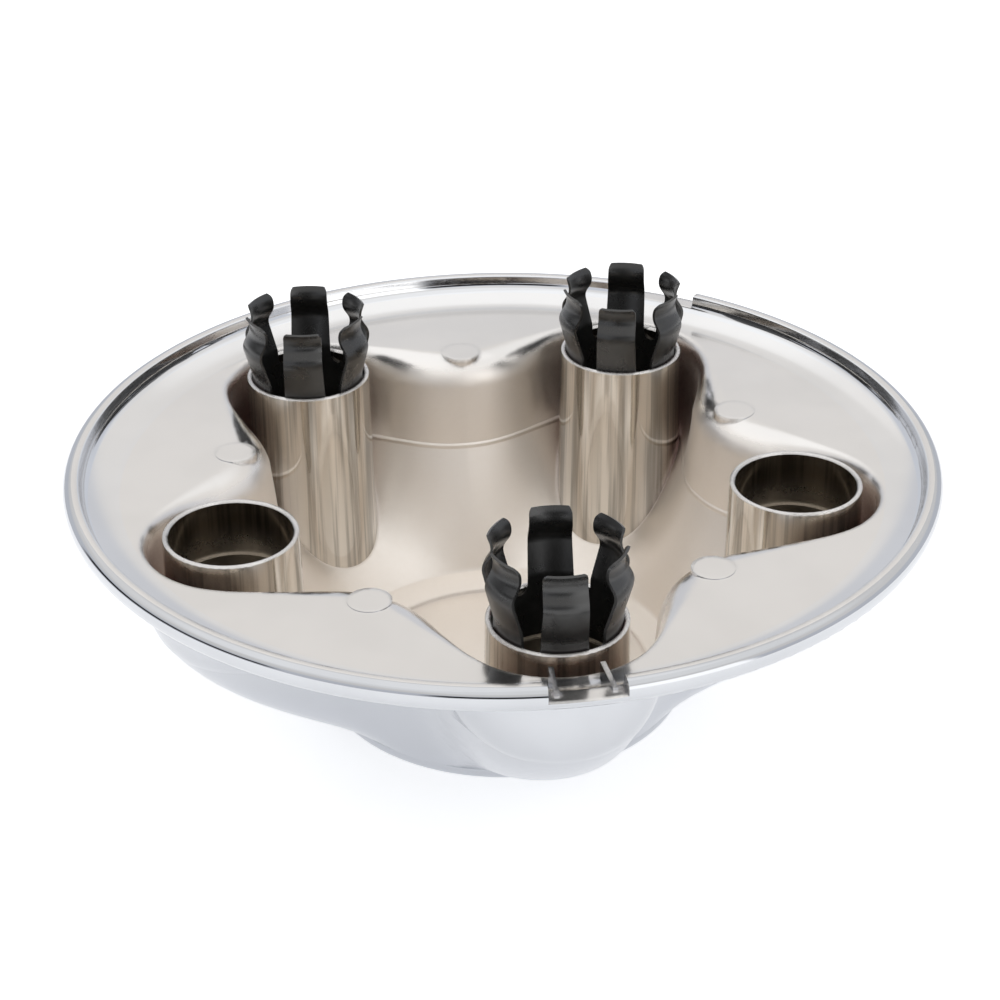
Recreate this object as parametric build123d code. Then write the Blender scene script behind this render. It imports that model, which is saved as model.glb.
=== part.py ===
"""Wheel centre cap for a five-stud wheel, lying on its front face with its back side up.

The cap is one thin moulding: a dished flange with a raised rim wall, a five-lobed bowl and five
hollow lug posts. Three of the posts hold a spring clip with six fingers that grip the lug nuts.
Heights are measured from the front face, which is the plane z = 0. The front post is on -Y.
"""
import os
from math import acos, atan2, cos, hypot, radians, sin, tan

from build123d import *

# Stud pattern
STUD_CIRCLE = 139.7
POST_COUNT = 5
SECTOR = 360 / POST_COUNT
FRONT_ANGLE = -90.0

# Rim and flange
RIM_TOP = 65.0
RIM_RADIUS = 104.0
RIM_TOP_INNER = 100.0
RIM_WIDEST_DROP = 2.2
RIM_UNDERCUT_RADIUS = 102.5
RIM_UNDERCUT_DROP = 5.4
RIM_FOOT_RADIUS = 98.2
RIM_FOOT_DROP = 4.2
RIM_CORNER_RADIUS = 99.8
RIM_CORNER_DROP = 2.0
FLANGE_DROP = 6.0
FLANGE_FLAT_RADIUS = 91.0
FLANGE_SKIN = 2.4
EDGE_ROUND = 0.5

# Bowl outline where its wall meets the flange, and at the foot of the wall between two posts
VALLEY_CENTRE = 84.7
WALL_LOBE_REACH = 88.3
WALL_LOBE_RADIUS = 21.9
WALL_VALLEY_REACH = 58.0
FOOT_LOBE_REACH = 84.5
FOOT_LOBE_RADIUS = 17.5
FOOT_VALLEY_REACH = 56.4
FOOT_HEIGHT = 36.0
ROLL_START = 51.0
LOBE_BELLY = 0.517
LOFT_STEPS = 3

# Hub: the floor of the bowl and the flat front face
FLOOR_EDGE_RADIUS = 43.4
FLOOR_EDGE_HEIGHT = 5.1
FLOOR_SLOPE_RADIUS = 43.0
FLOOR_STEP_RADIUS = 36.1
FLOOR_STEP_HEIGHT = 3.5
FLOOR_HEIGHT = 2.7
FACE_RADIUS = 42.4
FACE_EDGE_RADIUS = 45.2
EMBLEM_SEAT_RADIUS = 33.0
EMBLEM_SEAT_DEPTH = 0.7

# Lug posts
POST_TOP = 61.0
POST_RADIUS = 15.6
POST_DRAFT = 1.0
POST_BORE_RADIUS = 14.3
BORE_SEAT_DEPTH = 14.0
BORE_CORE_RADIUS = 13.6
POST_LIP_ROUND = 0.45

# Rim notches, locating ribs and ejector pads
NOTCH_POSTS = (0, 2)
NOTCH_HALF_ANGLE = 4.6
NOTCH_DROP = 3.2
RIB_HALF_ANGLE = 3.45
RIB_THICKNESS = 1.1
RIB_INNER_RADIUS = 91.0
RIB_OUTER_RADIUS = 101.0
RIB_DROP = 2.6
RIB_BURY = 0.8
PAD_CIRCLE = 65.6
PAD_RADIUS = 5.0
PAD_PROUD = 0.12

# Retaining clips: the post that each one sits in, its turn there and its height above the seat
CLIPS = {
    "retaining_clip_front": (0, -4.2, 1.2),
    "retaining_clip_rear_right": (2, 18.8, 0.0),
    "retaining_clip_rear_left": (3, 15.0, 0.0),
}
CLIP_STOCK = 0.6
CLIP_BEND = 4.0
CLIP_FINGERS = 6
FINGER_WIDTH = 10.3
FINGER_TIP_WIDTH = 9.3
FINGER_CORNER = 2.0
BAND_RADIUS = 14.25
BAND_TOP = 1.2
SLOT_END = -3.0
SLOT_ROUND = 1.9
BULGE_RADIUS = 16.6
BULGE_HEIGHT = 9.9
NECK_RADIUS = 13.7
NECK_HEIGHT = 14.6
LIP_RADIUS = 15.3
LIP_HEIGHT = 17.5

POST_CIRCLE_RADIUS = STUD_CIRCLE / 2
FLANGE_BACK = RIM_TOP - FLANGE_DROP
FLANGE_FRONT = FLANGE_BACK - FLANGE_SKIN
OVERLAP = 1.0
ABOVE = RIM_TOP + 10 * OVERLAP


class Layer:
    """One side of the bowl's skin, as shifts from the inside and the rolls of its upper edge."""

    def __init__(self, outwards, downwards, wall, roll_lobe, roll_valley, mouth_top):
        self.outwards = outwards
        self.downwards = downwards
        self.wall = wall
        self.roll_lobe = roll_lobe
        self.roll_valley = roll_valley
        self.mouth_top = mouth_top


INSIDE = Layer(0.0, 0.0, 0.0, 2.2, FLANGE_BACK - ROLL_START, ABOVE)
OUTSIDE = Layer(2.0, 1.6, 2.4, 1.6, FLANGE_FRONT - ROLL_START, FLANGE_FRONT + FLANGE_SKIN / 2)


def post_angle(index):
    """Azimuth of a post, counted counter-clockwise from the front one."""
    return FRONT_ANGLE + index * SECTOR


def post_place(index):
    """Position of a post's axis at the front-face plane, turned to its azimuth."""
    return Rot(0, 0, post_angle(index)) * Pos(POST_CIRCLE_RADIUS, 0, 0)


def between(low, high, share):
    """Value at a share of the way from low to high."""
    return low + (high - low) * share


def lobed_points(lobe_reach, lobe_radius, valley_reach):
    """Half of one lobe's outline as (angle, radius) from its tip to the valley: arc, straight flank, arc."""
    half = radians(SECTOR / 2)
    lobe_centre = Vector(lobe_reach - lobe_radius, 0)
    valley_centre = Vector(VALLEY_CENTRE * cos(half), VALLEY_CENTRE * sin(half))
    valley_radius = VALLEY_CENTRE - valley_reach
    gap = valley_centre - lobe_centre
    flank = atan2(gap.Y, gap.X) - acos((lobe_radius + valley_radius) / gap.length)

    def on_arc(centre, radius, angle):
        return centre + Vector(radius * cos(angle), radius * sin(angle))

    lobe_end = on_arc(lobe_centre, lobe_radius, flank)
    valley_start = on_arc(valley_centre, -valley_radius, flank)
    points = [on_arc(lobe_centre, lobe_radius, share * flank) for share in (0, 1 / 3, 2 / 3, 1)]
    points += [lobe_end + (valley_start - lobe_end) * share for share in (1 / 3, 2 / 3, 1)]
    points += [on_arc(valley_centre, -valley_radius, between(flank, half, share)) for share in (1 / 2, 1)]
    return [(atan2(point.Y, point.X), hypot(point.X, point.Y)) for point in points]


def outline(height, half_lobe):
    """Closed outline at a height, one smooth curve from valley to valley over each lobe."""
    turns = [(-angle, radius) for angle, radius in reversed(half_lobe[1:])] + half_lobe
    shares = [step / (len(turns) - 1) for step in range(len(turns))]
    points = [Vector(radius * cos(turn), radius * sin(turn), height) for turn, radius in turns]
    speed = (points[1] - points[0]).length / shares[1]
    ends = [Vector(-sin(turn), cos(turn)) * speed for turn, radius in (turns[0], turns[-1])]
    lobe = Edge.make_spline(points, tangents=ends, parameters=shares, scale=False)
    return Face(Wire([Rot(0, 0, post_angle(index)) * lobe for index in range(POST_COUNT)]))


def lobed(height, lobe_reach, lobe_radius, valley_reach):
    """Lobed outline at a height."""
    return outline(height, lobed_points(lobe_reach, lobe_radius, valley_reach))


def dome_outline(layer, share):
    """Outline below the wall's foot, a share of the way up from the round hub to the full lobes."""
    foot_reach = FOOT_LOBE_REACH + layer.outwards
    foot_valley = FOOT_VALLEY_REACH + layer.outwards
    hub = FLOOR_EDGE_RADIUS + layer.outwards
    reach = between(hub, foot_reach, share + LOBE_BELLY * share * (1 - share))
    valley = between(hub, foot_valley, share)
    half_lobe = []
    for angle, radius in lobed_points(foot_reach, FOOT_LOBE_RADIUS + layer.outwards, foot_valley):
        lobe_share = (radius - foot_valley) / (foot_reach - foot_valley)
        half_lobe.append((angle, between(valley, reach, lobe_share)))
    return outline(between(FLOOR_EDGE_HEIGHT, FOOT_HEIGHT, share) - layer.downwards, half_lobe)


def wall_outline(layer, share):
    """Outline of the bowl's wall, a share of the way up from its foot to the start of its rolled edge."""
    eased = 1 - (1 - share) ** 3
    return lobed(
        between(FOOT_HEIGHT - layer.downwards, ROLL_START, share),
        between(FOOT_LOBE_REACH + layer.outwards, WALL_LOBE_REACH + layer.wall, eased),
        between(FOOT_LOBE_RADIUS + layer.outwards, WALL_LOBE_RADIUS + layer.wall, eased),
        between(FOOT_VALLEY_REACH + layer.outwards, WALL_VALLEY_REACH + layer.wall, share),
    )


def roll_outline(layer, share):
    """Outline of the edge that rolls over from the wall to the flange, wide in the valleys."""
    turn = radians(90 * share)
    lobe_shift = layer.wall + layer.roll_lobe * (1 - cos(turn))
    valley_shift = layer.wall + layer.roll_valley * (1 - cos(turn))
    return lobed(
        ROLL_START + layer.roll_valley * sin(turn),
        WALL_LOBE_REACH + lobe_shift,
        WALL_LOBE_RADIUS + lobe_shift,
        WALL_VALLEY_REACH + valley_shift,
    )


def bowl(layer):
    """Solid bounded by one side of the bowl's skin, from the hub up to its mouth."""
    shares = [step / LOFT_STEPS for step in range(LOFT_STEPS + 1)]
    lip = roll_outline(layer, 1)
    height = layer.mouth_top - ROLL_START - layer.roll_valley
    pieces = [
        loft([dome_outline(layer, share) for share in shares]),
        loft([wall_outline(layer, share) for share in shares]),
        loft([roll_outline(layer, share) for share in shares]),
        extrude(lip, height, dir=(0, 0, 1)),
    ]
    faces = [pieces[0].faces().sort_by(Axis.Z)[0], pieces[-1].faces().sort_by(Axis.Z)[-1]]
    for piece in pieces:
        by_height = piece.faces().sort_by(Axis.Z)
        faces += by_height[1:-1]
    return Solid(Shell(faces))


def turned(*lines):
    """Solid of revolution about Z from the closed chain of lines drawn in the XZ plane."""
    return revolve(Plane.XZ * make_face(list(lines)), Axis.Z)


def hub_floor():
    """Cutter for the dished floor of the bowl, with the step round its flat middle."""
    top = FLOOR_EDGE_HEIGHT + OVERLAP
    profile = Polyline(
        (0, FLOOR_HEIGHT),
        (FLOOR_STEP_RADIUS, FLOOR_HEIGHT),
        (FLOOR_STEP_RADIUS, FLOOR_STEP_HEIGHT),
        (FLOOR_SLOPE_RADIUS, FLOOR_EDGE_HEIGHT),
        (FLOOR_SLOPE_RADIUS, top),
        (0, top),
        close=True,
    )
    return turned(profile)


def front_face():
    """Disc that carries the flat front face, with a rounded edge."""
    top = FLOOR_EDGE_HEIGHT - OUTSIDE.downwards
    edge = TangentArc((FACE_RADIUS, 0), (FACE_EDGE_RADIUS, top), tangent=(1, 0))
    inner = FACE_EDGE_RADIUS - OVERLAP
    rest = Polyline(edge @ 1, (inner, top + OVERLAP), (0, top + OVERLAP), (0, 0), (FACE_RADIUS, 0))
    return turned(edge, rest)


def flange():
    """Dished flange with its rim wall, as one turned plate."""
    foot = (RIM_FOOT_RADIUS, RIM_TOP - RIM_FOOT_DROP)
    back = Polyline((0, FLANGE_FRONT), (0, FLANGE_BACK), (FLANGE_FLAT_RADIUS, FLANGE_BACK))
    dish = TangentArc(back @ 1, foot, tangent=(1, 0))
    corner = TangentArc(foot, (RIM_CORNER_RADIUS, RIM_TOP - RIM_CORNER_DROP), tangent=dish % 1)
    inner_face = Line(corner @ 1, (RIM_TOP_INNER, RIM_TOP - EDGE_ROUND))
    inner_edge = TangentArc(inner_face @ 1, (RIM_TOP_INNER + EDGE_ROUND, RIM_TOP), tangent=inner_face % 1)
    top = Line(inner_edge @ 1, (RIM_RADIUS - RIM_WIDEST_DROP, RIM_TOP))
    outer_edge = TangentArc(top @ 1, (RIM_RADIUS, RIM_TOP - RIM_WIDEST_DROP), tangent=top % 1)
    undercut = (RIM_UNDERCUT_RADIUS, RIM_TOP - RIM_UNDERCUT_DROP)
    bead = TangentArc(outer_edge @ 1, undercut, tangent=outer_edge % 1)
    front = Polyline(bead @ 1, (FLANGE_FLAT_RADIUS, FLANGE_FRONT), (0, FLANGE_FRONT))
    return turned(back, dish, corner, inner_face, inner_edge, top, outer_edge, bead, front)


def post_tube():
    """Hollow lug post on the Z axis: drafted outside, rounded lip, clip seat inside its bore."""
    foot_radius = POST_RADIUS + tan(radians(POST_DRAFT)) * POST_TOP
    seat = POST_TOP - BORE_SEAT_DEPTH
    lip = POST_LIP_ROUND
    inside = Polyline(
        (foot_radius, 0),
        (BORE_CORE_RADIUS, 0),
        (BORE_CORE_RADIUS, seat),
        (POST_BORE_RADIUS, seat),
        (POST_BORE_RADIUS, POST_TOP - lip),
        (POST_BORE_RADIUS + lip, POST_TOP),
        (POST_RADIUS - lip, POST_TOP),
    )
    edge = TangentArc(inside @ 1, (POST_RADIUS, POST_TOP - lip), tangent=(1, 0))
    outside = Line(edge @ 1, (foot_radius, 0))
    return turned(inside, edge, outside)


def post_blank():
    """Stock for the part of a post that stands above the flange, before the bowl is cut out around it."""
    height = POST_TOP - FLANGE_FRONT
    return Pos(0, 0, POST_TOP - height / 2) * Cylinder(POST_RADIUS + OVERLAP, height)


def rim_notch():
    """Cutter for one notch in the rim wall, centred on the X axis."""
    width = 2 * (RIM_RADIUS - RIM_FOOT_RADIUS)
    profile = Pos(RIM_RADIUS, RIM_TOP) * Rectangle(width, 2 * NOTCH_DROP)
    sweep = revolve(Plane.XZ * profile, Axis.Z, revolution_arc=2 * NOTCH_HALF_ANGLE)
    return Rot(0, 0, -NOTCH_HALF_ANGLE) * sweep


def rim_rib():
    """Thin locating rib on the flange, running outwards along the X axis."""
    top = RIM_TOP - RIB_DROP
    profile = Polyline(
        (RIB_INNER_RADIUS, FLANGE_BACK - RIB_BURY),
        (RIB_INNER_RADIUS, top),
        (RIB_OUTER_RADIUS, top),
        (RIB_OUTER_RADIUS, RIM_TOP - RIM_FOOT_DROP - RIB_BURY),
        close=True,
    )
    return extrude(Plane.XZ * make_face(profile), RIB_THICKNESS / 2, both=True)


def ejector_pad():
    """Round witness mark of an ejector pin at the tip of the flange between two posts."""
    height = FLANGE_SKIN + PAD_PROUD
    return Pos(PAD_CIRCLE, 0, FLANGE_BACK + PAD_PROUD - height / 2) * Cylinder(PAD_RADIUS, height)


def cap_body():
    """The moulded cap."""
    indices = range(POST_COUNT)
    hollow = bowl(INSIDE) - [post_place(index) * post_tube() for index in indices]
    body = flange() + bowl(OUTSIDE) + front_face() + [post_place(index) * post_blank() for index in indices]
    body -= hollow
    body -= hub_floor()
    body -= Cylinder(EMBLEM_SEAT_RADIUS, 2 * EMBLEM_SEAT_DEPTH)
    body -= [Rot(0, 0, post_angle(index)) * rim_notch() for index in NOTCH_POSTS]
    body += [Rot(0, 0, FRONT_ANGLE + side * RIB_HALF_ANGLE) * rim_rib() for side in (-1, 1)]
    body += [Rot(0, 0, post_angle(index) + SECTOR / 2) * ejector_pad() for index in indices]
    return body


def clip():
    """Spring clip on the Z axis with its post's mouth at z = 0 and a finger on the X axis."""
    bends = FilletPolyline(
        (BAND_RADIUS, -BORE_SEAT_DEPTH),
        (BAND_RADIUS, BAND_TOP),
        (BULGE_RADIUS, BULGE_HEIGHT),
        (NECK_RADIUS, NECK_HEIGHT),
        (LIP_RADIUS, LIP_HEIGHT),
        radius=CLIP_BEND,
    )
    strip = offset(Wire(bends.edges()), CLIP_STOCK, side=Side.LEFT)
    shell = revolve(Plane.XZ * make_face(strip), Axis.Z)
    ring = Pos(0, 0, SLOT_END - BORE_SEAT_DEPTH / 2) * Cylinder(2 * BULGE_RADIUS, BORE_SEAT_DEPTH)
    half_width = FINGER_WIDTH / 2
    half_tip = FINGER_TIP_WIDTH / 2
    tip = LIP_HEIGHT + CLIP_STOCK
    sides = [(half_width, SLOT_END), (half_tip, tip), (-half_tip, tip), (-half_width, SLOT_END)]
    blank = make_face(Polyline(*sides, close=True))
    blank = fillet(blank.vertices().group_by(Axis.Y)[-1], FINGER_CORNER)
    foot = Pos(0, SLOT_END + SLOT_ROUND / 2) * Rectangle(FINGER_WIDTH + 2 * SLOT_ROUND, SLOT_ROUND)
    round_place = half_width + SLOT_ROUND
    rounds = [Pos(x, SLOT_END + SLOT_ROUND) * Circle(SLOT_ROUND) for x in (-round_place, round_place)]
    finger = extrude(Plane.YZ * (blank + foot - rounds), 2 * BULGE_RADIUS)
    keep = ring
    for index in range(CLIP_FINGERS):
        keep += Rot(0, 0, index * 360 / CLIP_FINGERS) * finger
    return shell & keep


def write(shape, name):
    """Write one node to parts/."""
    export_step(shape, os.path.join("parts", name + ".step"))


os.makedirs("parts", exist_ok=True)
write(cap_body(), "cap_body")
for name, (index, turn, lift) in CLIPS.items():
    write(post_place(index) * Pos(0, 0, POST_TOP + lift) * Rot(0, 0, turn) * clip(), name)
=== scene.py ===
"""Look of the wheel centre cap: chrome plate, black spring clips, white table and soft light."""

import math

import bpy
from mathutils import Matrix, Vector

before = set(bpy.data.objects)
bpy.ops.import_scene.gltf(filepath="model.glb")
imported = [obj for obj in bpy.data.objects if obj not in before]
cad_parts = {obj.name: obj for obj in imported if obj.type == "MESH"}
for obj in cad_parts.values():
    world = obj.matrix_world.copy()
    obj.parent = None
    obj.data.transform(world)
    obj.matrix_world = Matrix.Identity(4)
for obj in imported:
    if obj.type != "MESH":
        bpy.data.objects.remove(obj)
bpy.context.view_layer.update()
scene = bpy.context.scene

# Places on the cap, in metres
POST_COUNT = 5
POST_SECTOR = 2 * math.pi / POST_COUNT
FIRST_POST = -math.pi / 2
POST_CIRCLE = 0.06985
POST_REACH = 0.0168
BORE_REACH = 0.0149
FLANGE_BACK = 0.0588
ROLL_START = 0.053
WALL_FOOT = 0.0360
CORE_TOP = 0.050
# Heights where the bores' painted shade turns into a lighter painted reflection deeper down
BORE_PAINTED_FADE = (0.0465, 0.0565)
SIGHT_POINT = Vector((0, 0, 0.12))

# Turned surfaces of the rim: centre of the profile's arc (radius, height), and whether it is hollow
RIM_ARCS = {
    "dish": ((0.0910, 0.0743), True),
    "corner": ((0.09673, 0.06355), True),
    "wall": ((-0.8911, 0.1958), True),
    "inner edge": ((0.1005, 0.0645), False),
    "edge": ((0.1018, 0.0628), False),
    "bead": ((0.09984, 0.0628), False),
}
DISH_START = 0.0910
DISH_END = 0.0982
CORNER_TOP = 0.0630
WALL_TOP = 0.0645
EDGE_START = 0.1018
EDGE_LOW = 0.0628

# Limits on the normals of faces, for telling the surfaces apart
LEVEL_FACE = 0.9995
RADIAL_SHARE = 0.5
RISING_FACE = 0.05
UPRIGHT_FACE = 0.3
HANGING_FACE = -0.15

# Plating colours; some also carry painted shade and painted light, as noted
PALE_NICKEL = (0.78, 0.762, 0.745)
# Bowl below the flange: a warmer plating tone, also brightened as painted light
WARM_LIT_NICKEL = (0.905, 0.852, 0.793)
DULL_NICKEL = (0.74, 0.70, 0.64)
# Painted shade: dark tone of the post bores and their floors
BORE_PAINTED_SHADE = (0.40, 0.36, 0.31)
# Painted shade: dark copper-red painted into the narrow pockets of the bowl
POCKET_PAINTED_SHADE = (0.17, 0.042, 0.036)
DISH_NICKEL = (0.772, 0.766, 0.764)
RIM_CHROME = (0.755, 0.765, 0.785)
CHROME = (0.585, 0.597, 0.62)
# Painted shade of the outside chrome, in the valleys and near the table
SHADED_CHROME = (0.52, 0.535, 0.57)

# Plating detail: noise scales, and heights in metres
NOISE_SPAN = (0.3, 0.7)
CLOUD_SCALE = 45.0
CLOUD_SHADE = 0.955
GRAIN_SCALE = 900.0
# Painted reflections: dark streaks along Z on the posts and bores
STREAK_SCALE = 420.0
STREAK_STRETCH = (1.0, 1.0, 0.02)
STREAK_SPAN = (0.36, 0.56)
STREAK_SHADE = 0.56
WAVE_SCALE = 60.0
WAVE_RISE = 0.00004
FAINT_WAVE_RISE = 0.00001
LINE_STRETCH = (1.0, 1.0, 28.0)
LINE_RISE = 0.000012
BEAD_WIDTH = 0.0008
BEAD_RISE = 0.0003
EDGE_ROUNDING = 0.0015

# Spring steel
BLACK_STEEL = (0.012, 0.012, 0.0115, 1)
WORN_STEEL = (0.022, 0.022, 0.021, 1)
RUB_SCALE = 160.0
RUB_SPAN = (0.5, 0.8)
STEEL_GLOSS = (0.26, 0.32)

# Table, light tent and key light
TABLE_RADIUS = 3.0
TABLE_GLOW = 0.62
LOW_WALL = (0.72, 0.74, 0.79, 1)
WALL = (0.90, 0.885, 0.87, 1)
ROOF = (1.08, 1.08, 1.08, 1)
CARD = (1.7, 1.7, 1.7, 1)
DARK = (0.02, 0.018, 0.017, 1)
WALL_RISE = (0.36, 0.475)
ROOF_RISE = (0.6, 0.8)
KEY_PLACE = (-0.5, 0.6, 1.8)
KEY_TARGET = (0, 0, 0.04)
KEY_SIZE = 2.4
KEY_POWER = 2

# Camera of the photograph
LENS = 85.79
SENSOR_WIDTH = 36.0
CLIP_START = 0.01
CAMERA_PLACE = (-0.082968, -0.493889, 0.333814)
CAMERA_RIGHT = Vector((0.985822, -0.167686, -0.006020))
CAMERA_UP = Vector((0.087683, 0.484237, 0.870532))


class Nodes:
    """Short form for building a node tree."""

    def __init__(self, tree):
        self.tree = tree
        tree.nodes.clear()

    def new(self, kind, **values):
        node = self.tree.nodes.new(kind)
        for name, value in values.items():
            setattr(node, name, value)
        return node

    def put(self, socket, value):
        if isinstance(value, bpy.types.NodeSocket):
            self.tree.links.new(value, socket)
        else:
            socket.default_value = value

    def math(self, operation, first, second=0.0):
        node = self.new("ShaderNodeMath", operation=operation)
        self.put(node.inputs[0], first)
        self.put(node.inputs[1], second)
        return node.outputs[0]

    def vector(self, operation, first, second=(0, 0, 0)):
        node = self.new("ShaderNodeVectorMath", operation=operation)
        self.put(node.inputs[0], first)
        self.put(node.inputs[1], second)
        return node.outputs["Value" if operation in ("DOT_PRODUCT", "LENGTH") else "Vector"]

    def split(self, vector):
        node = self.new("ShaderNodeSeparateXYZ")
        self.put(node.inputs[0], vector)
        return node.outputs

    def join(self, x, y, z):
        node = self.new("ShaderNodeCombineXYZ")
        for socket, value in zip(node.inputs, (x, y, z)):
            self.put(socket, value)
        return node.outputs[0]

    def ramp(self, value, low, high, low_out=0.0, high_out=1.0):
        node = self.new("ShaderNodeMapRange", interpolation_type="SMOOTHSTEP")
        self.put(node.inputs["Value"], value)
        node.inputs["From Min"].default_value = low
        node.inputs["From Max"].default_value = high
        self.put(node.inputs["To Min"], low_out)
        self.put(node.inputs["To Max"], high_out)
        return node.outputs["Result"]

    def mix(self, share, first, second):
        node = self.new("ShaderNodeMix", data_type="RGBA")
        self.put(node.inputs["Factor"], share)
        self.put(node.inputs[6], first)
        self.put(node.inputs[7], second)
        return node.outputs[2]

    def noise(self, vector, scale, detail=2.0, roughness=0.5):
        node = self.new("ShaderNodeTexNoise")
        self.put(node.inputs["Vector"], vector)
        node.inputs["Scale"].default_value = scale
        node.inputs["Detail"].default_value = detail
        node.inputs["Roughness"].default_value = roughness
        return node.outputs["Fac"]

    def bump(self, height, distance, normal=None):
        node = self.new("ShaderNodeBump")
        node.inputs["Distance"].default_value = distance
        self.put(node.inputs["Height"], height)
        if normal is not None:
            self.put(node.inputs["Normal"], normal)
        return node.outputs["Normal"]


def new_material(name):
    material = bpy.data.materials.new(name)
    material.use_nodes = True
    nodes = Nodes(material.node_tree)
    output = nodes.new("ShaderNodeOutputMaterial")
    shader = nodes.new("ShaderNodeBsdfPrincipled")
    nodes.put(output.inputs["Surface"], shader.outputs["BSDF"])
    place = nodes.new("ShaderNodeTexCoord").outputs["Object"]
    return material, nodes, shader, place


def ring_normal(nodes, place, arc):
    """Exact normal of a turned surface, from the centre of its arc."""
    (centre_radius, centre_height), hollow = arc
    x, y, z = nodes.split(place)
    flat = nodes.join(x, y, 0.0)
    out = nodes.vector("NORMALIZE", flat)
    radius = nodes.math("SUBTRACT", nodes.vector("LENGTH", flat), centre_radius)
    height = nodes.math("SUBTRACT", z, centre_height)
    sideways = nodes.new("ShaderNodeVectorMath", operation="SCALE")
    nodes.put(sideways.inputs[0], out)
    nodes.put(sideways.inputs["Scale"], radius)
    spoke = nodes.vector("ADD", sideways.outputs[0], nodes.join(0.0, 0.0, height))
    sign = -1.0 if hollow else 1.0
    return nodes.vector("NORMALIZE", nodes.vector("MULTIPLY", spoke, (sign, sign, sign)))


def post_normal(nodes, place, sign):
    """Exact normal of the nearest post's wall, away from its axis or towards it."""
    x, y, _ = nodes.split(place)
    turn = nodes.math("SUBTRACT", nodes.math("ARCTAN2", y, x), FIRST_POST)
    index = nodes.math("ROUND", nodes.math("DIVIDE", turn, POST_SECTOR))
    azimuth = nodes.math("ADD", nodes.math("MULTIPLY", index, POST_SECTOR), FIRST_POST)
    axis_x = nodes.math("MULTIPLY", nodes.math("COSINE", azimuth), POST_CIRCLE)
    axis_y = nodes.math("MULTIPLY", nodes.math("SINE", azimuth), POST_CIRCLE)
    spoke_x = nodes.math("SUBTRACT", x, axis_x)
    spoke_y = nodes.math("SUBTRACT", y, axis_y)
    spoke = nodes.join(spoke_x, spoke_y, 0.0)
    return nodes.vector("NORMALIZE", nodes.vector("MULTIPLY", spoke, (sign, sign, sign)))


def rounded_normal(nodes):
    """Normal evened out over a short reach."""
    node = nodes.new("ShaderNodeBevel", samples=3)
    node.inputs["Radius"].default_value = EDGE_ROUNDING
    return node.outputs["Normal"]


def shade(colour, share):
    return tuple(channel * share for channel in colour)


def plate(name, colour, gloss, normal=None, painted_shade=None, fade=None, crease=None,
          painted_streaks=False, flat=False):
    """Bright plating with clouds, grain and a wavy, finely lined surface.

    painted_shade: reach, closed and open limits, and the tint of the painted shade where the
    surface is closed in (ambient occlusion).
    fade: two heights, and the tint and gloss below them.
    crease: height of a fine bead around the surface.
    painted_streaks: straight dark streaks along Z, painted reflections, and only faint waves.
    flat: only faint waves.
    """
    material, nodes, shader, place = new_material(name)
    height = nodes.split(place)["Z"]
    smooth, dull = gloss

    cloud = nodes.noise(place, CLOUD_SCALE, 3.0)
    worn = shade(colour, CLOUD_SHADE)
    tint = nodes.mix(nodes.ramp(cloud, *NOISE_SPAN), worn + (1,), colour + (1,))
    if painted_streaks:
        # Painted reflection: dark streaks along Z
        stretched = nodes.vector("MULTIPLY", place, STREAK_STRETCH)
        streaks = nodes.noise(stretched, STREAK_SCALE, 3.0, 0.6)
        dark = shade(colour, STREAK_SHADE)
        tint = nodes.mix(nodes.ramp(streaks, *STREAK_SPAN), dark + (1,), tint)
    if fade:
        low, high, low_tint, (smooth_low, dull_low) = fade
        tint = nodes.mix(nodes.ramp(height, low, high), low_tint + (1,), tint)
        smooth = nodes.ramp(height, low, high, smooth_low, smooth)
        dull = nodes.ramp(height, low, high, dull_low, dull)
    if painted_shade:
        reach, closed, open_to, shade_tint = painted_shade
        # Painted shade: ambient occlusion darkens the tint where the surface is closed in
        opening = nodes.new("ShaderNodeAmbientOcclusion", samples=4)
        opening.inputs["Distance"].default_value = reach
        openness = nodes.ramp(opening.outputs["AO"], closed, open_to)
        tint = nodes.mix(openness, shade_tint + (1,), tint)
    nodes.put(shader.inputs["Base Color"], tint)

    grain = nodes.noise(place, GRAIN_SCALE, 2.0)
    nodes.put(shader.inputs["Roughness"], nodes.ramp(grain, *NOISE_SPAN, smooth, dull))
    shader.inputs["Metallic"].default_value = 1.0

    surface = normal(nodes, place) if normal else None
    if crease:
        rise = nodes.ramp(height, crease - BEAD_WIDTH, crease)
        fall = nodes.ramp(height, crease + BEAD_WIDTH, crease)
        surface = nodes.bump(nodes.math("MULTIPLY", rise, fall), BEAD_RISE, surface)
    waves = nodes.noise(place, WAVE_SCALE, 2.0)
    if painted_streaks or flat:
        surface = nodes.bump(waves, FAINT_WAVE_RISE, surface)
    else:
        lines = nodes.noise(nodes.vector("MULTIPLY", place, LINE_STRETCH), WAVE_SCALE, 3.0)
        surface = nodes.bump(lines, LINE_RISE, nodes.bump(waves, WAVE_RISE, surface))
    nodes.put(shader.inputs["Normal"], surface)
    return material


def spring_steel():
    """Black coated spring steel, satin, with faint rubbed marks."""
    material, nodes, shader, place = new_material("black spring steel")
    rub = nodes.noise(place, RUB_SCALE, 3.0, 0.55)
    tint = nodes.mix(nodes.ramp(rub, *RUB_SPAN), BLACK_STEEL, WORN_STEEL)
    nodes.put(shader.inputs["Base Color"], tint)
    nodes.put(shader.inputs["Roughness"], nodes.ramp(rub, *NOISE_SPAN, *STEEL_GLOSS))
    shader.inputs["Specular IOR Level"].default_value = 0.8
    return material


def post_axis(centre):
    """Axis of the nearest post."""
    index = round((math.atan2(centre.y, centre.x) - FIRST_POST) / POST_SECTOR)
    azimuth = index * POST_SECTOR + FIRST_POST
    return Vector((POST_CIRCLE * math.cos(azimuth), POST_CIRCLE * math.sin(azimuth)))


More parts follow.
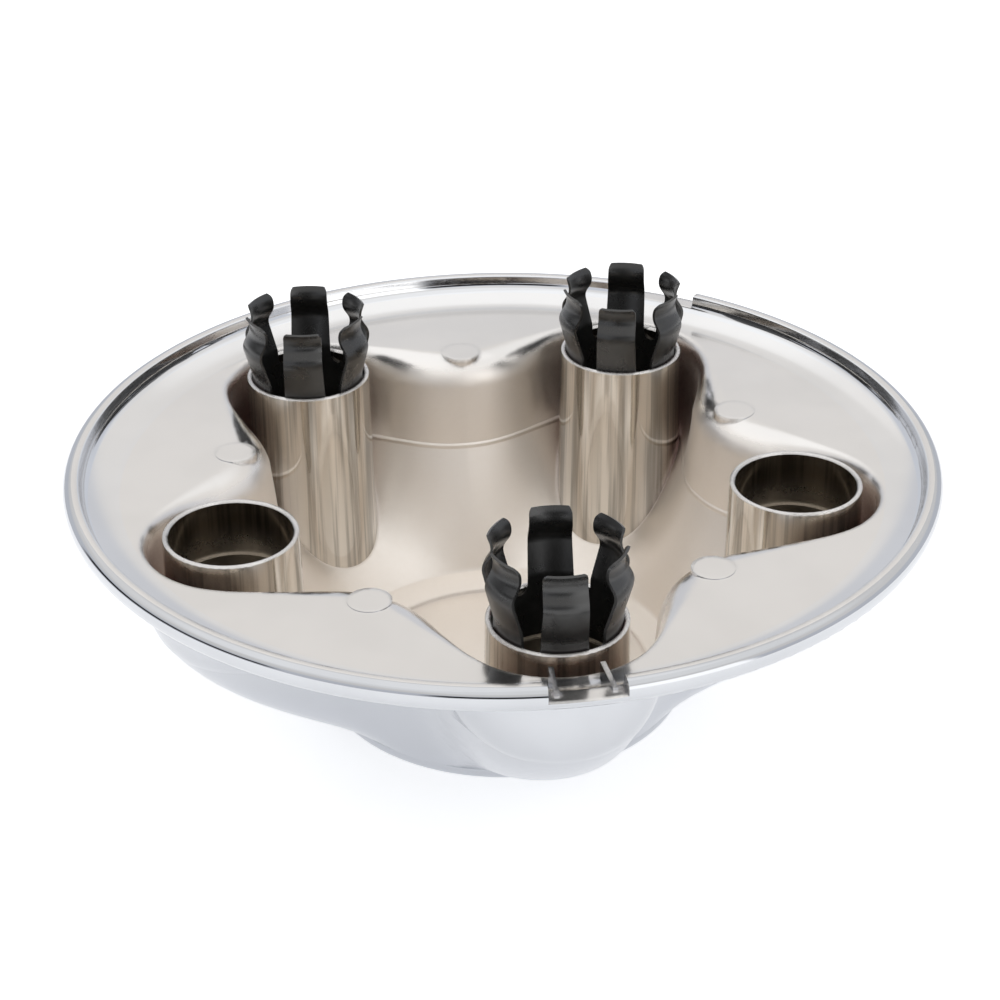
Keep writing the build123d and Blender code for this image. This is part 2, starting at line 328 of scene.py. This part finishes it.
def rim_finish(centre, normal):
    """Name of the rim's turned surface that a face lies on, or None."""
    radius = centre.xy.length
    outwards = normal.xy.dot(centre.xy) / radius
    if normal.z > LEVEL_FACE or abs(outwards) < RADIAL_SHARE * normal.xy.length:
        return None
    if outwards > 0:
        if radius < EDGE_START:
            return None
        return "edge" if centre.z > EDGE_LOW else "bead"
    if radius < DISH_START or normal.z < RISING_FACE:
        return None
    if radius < DISH_END:
        return "dish"
    if centre.z < CORNER_TOP:
        return "corner"
    return "wall" if centre.z < WALL_TOP else "inner edge"


def finish_of(centre, normal):
    """Name of the finish of one face of the cap."""
    spoke = centre.xy - post_axis(centre)
    if spoke.length < POST_REACH and normal.z > HANGING_FACE:
        if centre.z < CORE_TOP and spoke.length < BORE_REACH:
            return "core"
        if abs(normal.z) > UPRIGHT_FACE:
            return "inside"
        if normal.xy.dot(spoke) > 0:
            return "post"
        return "bore" if spoke.length < BORE_REACH else "inside"
    rim = rim_finish(centre, normal)
    if rim:
        return rim
    if normal.dot(centre - SIGHT_POINT) > 0:
        return "front"
    return "inside"


def cap_finishes():
    """Materials of the cap's surfaces, by the names that finish_of gives."""
    finishes = {
        "inside": plate(
            "inside plate", PALE_NICKEL, (0.12, 0.15),
            normal=lambda nodes, place: rounded_normal(nodes),
            # painted shade: dark copper-red in the narrow pockets, from ambient occlusion
            painted_shade=(0.011, 0.09, 0.34, POCKET_PAINTED_SHADE),
            # bowl below the flange: warmer plating tone brightened as painted light, and rougher
            fade=(ROLL_START, FLANGE_BACK, WARM_LIT_NICKEL, (0.48, 0.54)),
            crease=WALL_FOOT,
        ),
        "post": plate(
            "post plate", DULL_NICKEL, (0.07, 0.10),
            normal=lambda nodes, place: post_normal(nodes, place, 1.0),
            painted_streaks=True,
        ),
        # bore walls: painted shade near the mouth, lighter painted reflection of the lit floor
        # deeper down
        "bore": plate(
            "bore plate", BORE_PAINTED_SHADE, (0.16, 0.22),
            normal=lambda nodes, place: post_normal(nodes, place, -1.0),
            fade=(*BORE_PAINTED_FADE, DULL_NICKEL, (0.30, 0.36)),
            painted_streaks=True,
        ),
        # painted shade on the floors of the bores
        "core": plate("core plate", BORE_PAINTED_SHADE, (0.35, 0.45)),
        "front": plate(
            "front plate", CHROME, (0.20, 0.24),
            # painted shade: darker chrome in the valleys between the lobes and near the table
            painted_shade=(0.05, 0.25, 0.90, SHADED_CHROME),
        ),
    }
    colours = {"dish": DISH_NICKEL, "edge": CHROME, "bead": CHROME}
    for name, arc in RIM_ARCS.items():
        finishes[name] = plate(
            "rim " + name, colours.get(name, RIM_CHROME),
            (0.14, 0.17) if name == "dish" else (0.06, 0.09),
            normal=lambda nodes, place, arc=arc: ring_normal(nodes, place, arc),
            flat=True,
        )
    return finishes


def dress_cap(cap, finishes):
    names = list(finishes)
    cap.data.materials.clear()
    for name in names:
        cap.data.materials.append(finishes[name])
    for face in cap.data.polygons:
        face.material_index = names.index(finish_of(face.center, face.normal))


def dress(node, material):
    node.data.materials.clear()
    node.data.materials.append(material)


def table():
    """Wide white table top, bright enough to wash out all but the contact shadow."""
    bpy.ops.mesh.primitive_circle_add(vertices=96, radius=TABLE_RADIUS, fill_type="NGON")
    top = bpy.context.object
    top.name = "table"
    material, nodes, shader, place = new_material("white table")
    cloud = nodes.noise(place, 3.0, 2.0)
    white = nodes.mix(cloud, (0.70, 0.70, 0.705, 1), (0.72, 0.72, 0.725, 1))
    nodes.put(shader.inputs["Base Color"], white)
    shader.inputs["Emission Color"].default_value = (0.98, 0.99, 1.0, 1)
    shader.inputs["Emission Strength"].default_value = TABLE_GLOW
    shader.inputs["Roughness"].default_value = 0.8
    top.data.materials.append(material)


def heading(azimuth):
    angle = math.radians(azimuth)
    return (math.cos(angle), math.sin(angle), 0.0)


def studio():
    """Light tent: bright all round, with a bright card at the right of the front, a low dark
    opening at the front and a dark bar along the left side."""
    world = bpy.data.worlds.new("light tent")
    world.use_nodes = True
    scene.world = world
    nodes = Nodes(world.node_tree)
    output = nodes.new("ShaderNodeOutputWorld")
    background = nodes.new("ShaderNodeBackground")
    nodes.put(output.inputs["Surface"], background.outputs["Background"])
    ray = nodes.new("ShaderNodeTexCoord").outputs["Generated"]
    x, y, z = nodes.split(ray)
    level = nodes.vector("NORMALIZE", nodes.join(x, y, 0.0))

    def patch(azimuth, sides, top, foot=None):
        """Share of a patch of the tent, which fades out at its sides, its top and its foot."""
        towards = nodes.vector("DOT_PRODUCT", level, heading(azimuth))
        reach = nodes.ramp(z, *top)
        if foot:
            reach = nodes.math("MULTIPLY", nodes.ramp(z, *foot), reach)
        return nodes.math("MULTIPLY", nodes.ramp(towards, *sides), reach)

    card = patch(-58, (0.93, 0.96), top=(0.56, 0.48))
    opening = patch(-97, (0.92, 0.965), top=(0.36, 0.30), foot=(0.03, 0.08))
    bar = patch(172, (0.80, 0.88), top=(0.30, 0.26), foot=(0.06, 0.09))
    tent = nodes.mix(nodes.ramp(z, *WALL_RISE), LOW_WALL, WALL)
    tent = nodes.mix(nodes.ramp(z, *ROOF_RISE), tent, ROOF)
    tent = nodes.mix(card, tent, CARD)
    tent = nodes.mix(opening, tent, DARK)
    tent = nodes.mix(bar, tent, DARK)
    nodes.put(background.inputs["Color"], tent)
    background.inputs["Strength"].default_value = 1.0


def key_light():
    light = bpy.data.lights.new("key", "AREA")
    light.energy = KEY_POWER
    light.size = KEY_SIZE
    lamp = bpy.data.objects.new("key", light)
    scene.collection.objects.link(lamp)
    lamp.location = KEY_PLACE
    aim = Vector(KEY_TARGET) - Vector(KEY_PLACE)
    lamp.rotation_euler = aim.to_track_quat("-Z", "Y").to_euler()


def camera():
    """Camera at the photograph's viewing angle."""
    data = bpy.data.cameras.new("camera")
    data.sensor_width = SENSOR_WIDTH
    data.lens = LENS
    data.clip_start = CLIP_START
    eye = bpy.data.objects.new("camera", data)
    scene.collection.objects.link(eye)
    back = CAMERA_RIGHT.cross(CAMERA_UP)
    turn = Matrix((CAMERA_RIGHT, CAMERA_UP, back)).transposed().to_4x4()
    eye.matrix_world = Matrix.Translation(CAMERA_PLACE) @ turn
    scene.camera = eye


dress_cap(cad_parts["cap_body"], cap_finishes())
steel = spring_steel()
for name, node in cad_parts.items():
    if name != "cap_body":
        dress(node, steel)
table()
studio()
key_light()
camera()
scene.view_settings.view_transform = "Standard"
scene.cycles.max_bounces = 10
scene.cycles.glossy_bounces = 8
